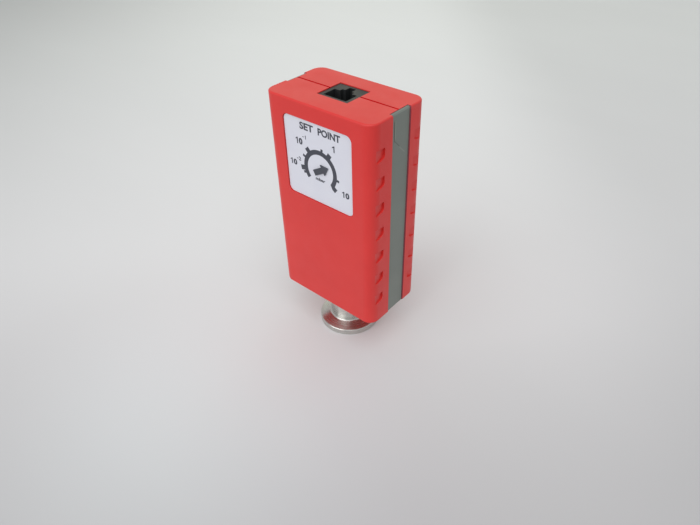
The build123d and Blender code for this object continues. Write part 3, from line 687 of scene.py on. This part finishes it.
# The filament is a coil of fine wire between its hooks
COIL_WIRE = 0.03
COIL_PITCH = 0.15
COIL_STEPS = 12
COIL_SIDES = 5
filament_low, filament_high = box_mm("filament")
coil_start = Vector((0, 0, filament_low.z + COIL_WIRE))
coil_radius = filament_high.x - COIL_WIRE
coil_length = filament_high.z - filament_low.z - 2 * COIL_WIRE
coil_turns = helix(coil_start, Vector((0, 0, 1)), coil_radius, coil_length, COIL_PITCH, COIL_STEPS)
coil = bmesh.new()
wire(coil, coil_turns, COIL_WIRE, COIL_SIDES)
filament_coil = case_piece("filament_coil", coil, "wire_tungsten")
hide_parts("filament")

# Screw threads, a fine ridge round each shank: the screws' places by X and Z, the thread's start and
# length along Y, and the shank's radius, the pitch and the ridge's radius
CASE_SCREW_PLACES = ((-18.5, 42.9), (18.5, 42.9), (-16.4, 114.0), (16.4, 114.0))
BOARD_SCREW_PLACES = ((-20.0, 56.0), (20.0, 56.0), (-20.0, 102.0), (20.0, 102.0))
THREAD_STEPS = 24
RIDGE_SIDES = 3
THREADS = (
    ("case_screw_threads", CASE_SCREW_PLACES, -7.7, 8.0, 1.5, 1.1, 0.14),
    ("board_screw_threads", BOARD_SCREW_PLACES, -13.1, 4.2, 1.0, 0.7, 0.10),
)
for thread_name, places, thread_start, thread_length, shank, pitch, ridge in THREADS:
    thread = bmesh.new()
    for x, z in places:
        foot = Vector((x, thread_start, z))
        turns = helix(foot, Vector((0, 1, 0)), shank, thread_length, pitch, THREAD_STEPS)
        wire(thread, turns, ridge, RIDGE_SIDES)
    case_piece(thread_name, thread, "screw_zinc")

# Bent legs of chips and regulator: how thick they are, and where they start inside the package
LEG_THICKNESS = 0.18
LEG_ROOT = -0.05


def bent_leg(bm, root, out, height, width, rise, reach):
    """A gull wing leg from the side of a package to the board at root: out is the direction that it
    takes along the board, and height the direction off the board."""
    profile = (
        (LEG_ROOT, rise + LEG_THICKNESS),
        (0.32 * reach, rise + LEG_THICKNESS),
        (0.55 * reach, LEG_THICKNESS),
        (reach, LEG_THICKNESS),
        (reach, 0.0),
        (0.40 * reach, 0.0),
        (0.20 * reach, rise),
        (LEG_ROOT, rise),
    )
    side = out.cross(height)
    ends = []
    for end in (-width / 2, width / 2):
        ends.append([bm.verts.new(root + out * away + height * up + side * end) for away, up in profile])
        bm.faces.new(ends[-1])
    bridge(bm, *ends)


# Legs of the chips, along their upper and lower sides
CHIP_SIZE = Vector((7.6, 0.0, 5.2))
CHIP_LEGS = 5
CHIP_PITCH = 1.27
board_low, board_high = box_mm("main_board")
chips_low, chips_high = box_mm("board_chips")
chip_centres = (
    (0.0, chips_low.z + CHIP_SIZE.z / 2),
    (0.0, chips_high.z - CHIP_SIZE.z / 2),
    (chips_high.x - CHIP_SIZE.x / 2, chips_high.z - CHIP_SIZE.z / 2),
)
chip_legs = bmesh.new()
for chip_x, chip_z in chip_centres:
    for direction in (-1, 1):
        for leg in range(CHIP_LEGS):
            x = chip_x + (leg - (CHIP_LEGS - 1) / 2) * CHIP_PITCH
            z = chip_z + direction * CHIP_SIZE.z / 2
            bent_leg(chip_legs, Vector((x, board_high.y, z)), Vector((0, 0, direction)), Vector((0, 1, 0)),
                     width=0.42, rise=0.75, reach=1.05)
case_piece("chip_legs", chip_legs, "pin_metal")

# Legs of the regulator, below it on the front of the board
REGULATOR_PITCH = 2.29
regulator_low, regulator_high = box_mm("board_regulator")
regulator_middle = (regulator_low.x + regulator_high.x) / 2
regulator_legs = bmesh.new()
for leg in (-1, 0, 1):
    root = Vector((regulator_middle + leg * REGULATOR_PITCH, board_low.y, regulator_low.z))
    bent_leg(regulator_legs, root, Vector((0, 0, -1)), Vector((0, -1, 0)), width=0.7, rise=1.0, reach=1.8)
case_piece("regulator_legs", regulator_legs, "pin_metal")

# Plastic feet of the two capacitors, square with two cut corners round the can
FOOT_HALF = 4.15
FOOT_CUT = 6.7
FOOT_HEIGHT = 1.1
FOOT_STEPS = 64
CAN_RADIUS = 4.0
CAN_GAP = 0.01


def foot_reach(across, up):
    """How far a foot reaches from the axis of its can in a direction."""
    reach = FOOT_HALF / max(abs(across), abs(up))
    if up > 0:
        reach = min(reach, FOOT_CUT / (abs(across) + up))
    return reach


cans_low, cans_high = box_mm("board_capacitors")
can_x = cans_low.x + CAN_RADIUS
hole = [CAN_RADIUS + CAN_GAP] * FOOT_STEPS
rim = [foot_reach(across, up) for across, up in circle(FOOT_STEPS)]
feet = bmesh.new()
for can_z in (cans_low.z + CAN_RADIUS, cans_high.z - CAN_RADIUS):
    rings = []
    for reaches, height in ((hole, 0.0), (rim, 0.0), (rim, FOOT_HEIGHT), (hole, FOOT_HEIGHT)):
        rings.append([feet.verts.new((can_x + reach * across, board_high.y + height, can_z + reach * up))
                      for reach, (across, up) in zip(reaches, circle(FOOT_STEPS))])
    for first, second in zip(rings, rings[1:] + rings[:1]):
        bridge(feet, first, second)
case_piece("capacitor_feet", feet, "jack_black")

# Solder round the feedthrough pins on the sensor board, with its section by radius and height
PIN_CIRCLE = 4.6
PINS = 4
SOLDER_PROFILE = ((0.46, 0.75), (0.55, 0.45), (0.72, 0.2), (1.05, 0.02), (1.05, 0.0), (0.46, 0.0))
SOLDER_STEPS = 24
sensor_top = box_mm("sensor_board")[1].z
solder = bmesh.new()
for pin_x, pin_y in circle(PINS):
    centre = Vector((PIN_CIRCLE * pin_x, PIN_CIRCLE * pin_y, sensor_top))
    rings = []
    for x, y in circle(SOLDER_STEPS):
        rings.append([solder.verts.new(centre + Vector((radius * x, radius * y, height)))
                      for radius, height in SOLDER_PROFILE])
    for first, second in zip(rings, rings[1:] + rings[:1]):
        bridge(solder, first, second)
case_piece("solder_joints", solder, "spring_steel")


# Floor, lights and camera
def floor_painted_light():
    """Pale floor with painted light: darker towards the camera and to both sides as far as the photograph
    goes, even again further out, and paler in a painted pool of light before the object."""
    material, tree, shader = new_shader("floor_painted_light", roughness=0.6, specular_ior_level=0.2)
    place = place_in_metres(tree)
    away = toward(tree, place, FLOOR_AWAY)
    aside = toward(tree, place, FLOOR_ASIDE)
    further = spread(tree, away, NEAR_END, FAR_END)
    body = blend_colour(tree, further, linear(*NEAR_SHADED_COLOUR), linear(*FAR_LIT_COLOUR))
    # A painted pool of light before the object.
    pale = smooth(tree, measure(tree, "DISTANCE", place, LIGHT_POOL_SPOT), 0.0, LIGHT_POOL_RADIUS, 1.0, 0.0)
    body = blend_colour(tree, pale, body, linear(*LIGHT_POOL_COLOUR))
    # Painted falloff of light towards the camera and to both sides.
    sides = times(tree, smooth(tree, aside, *RIGHT_FALL), smooth(tree, aside, *LEFT_FALL))
    lit = times(tree, smooth(tree, away, *NEAR_FALL), sides)
    lit = maths(tree, "MAXIMUM", lit, smooth(tree, measure(tree, "LENGTH", place), *OUTER_RISE))
    streak = noise(tree, stretch(tree, place, (4.0, 14.0, 1.0)), scale=1.0, detail=3.0)
    tone = times(tree, lit, middle(tree, streak, 0.3, 0.985, 1.0))
    tree.links.new(blend_colour(tree, tone, (0.0, 0.0, 0.0, 1.0), body), shader.inputs["Base Color"])
    return material


def make_floor():
    bm = bmesh.new()
    bmesh.ops.create_grid(bm, x_segments=FLOOR_SQUARES, y_segments=FLOOR_SQUARES, size=FLOOR_HALF)
    mesh = bpy.data.meshes.new("floor")
    bm.to_mesh(mesh)
    bm.free()
    mesh.materials.append(floor_painted_light())
    floor = bpy.data.objects.new("floor", mesh)
    bpy.context.scene.collection.objects.link(floor)


def make_world():
    """Plain soft sky, shown brighter to the camera as a pale backdrop."""
    world = bpy.data.worlds.new("studio")
    bpy.context.scene.world = world
    world.use_nodes = True
    tree = world.node_tree
    background = tree.nodes["Background"]
    background.inputs["Color"].default_value = SKY_COLOUR
    seen = add(tree, "ShaderNodeLightPath").outputs["Is Camera Ray"]
    tree.links.new(spread(tree, seen, 0.0, 1.0, WORLD_LEVEL, BACKDROP_LEVEL), background.inputs["Strength"])


def make_lamp(name, place, power, colour):
    light = bpy.data.lights.new(name, "AREA")
    light.shape = "DISK"
    light.size = LAMP_SIZE
    light.energy = power
    light.color = colour
    lamp = bpy.data.objects.new(name, light)
    lamp.location = place
    lamp.rotation_euler = (LAMP_AIM - Vector(place)).to_track_quat("-Z", "Y").to_euler()
    bpy.context.scene.collection.objects.link(lamp)


def make_camera():
    lens = bpy.data.cameras.new("camera")
    lens.sensor_width = SENSOR_WIDTH
    lens.lens = SENSOR_WIDTH * FOCAL_PIXELS / IMAGE_WIDTH
    lens.clip_start = CLIP_START
    lens.clip_end = CLIP_END
    camera = bpy.data.objects.new("camera", lens)
    turn = Euler((0, 0, math.radians(CAMERA_AZIMUTH))).to_matrix()
    tilt = Euler((math.radians(90 - CAMERA_ELEVATION), 0, 0)).to_matrix()
    roll = Euler((0, 0, math.radians(CAMERA_ROLL))).to_matrix()
    camera.rotation_euler = (turn @ tilt @ roll).to_euler()
    camera.location = CAMERA_PLACE
    bpy.context.scene.collection.objects.link(camera)
    bpy.context.scene.camera = camera


make_floor()
make_world()
for lamp_name, lamp_values in LAMPS.items():
    make_lamp(lamp_name, *lamp_values)
make_camera()
bpy.context.scene.view_settings.view_transform = "Standard"
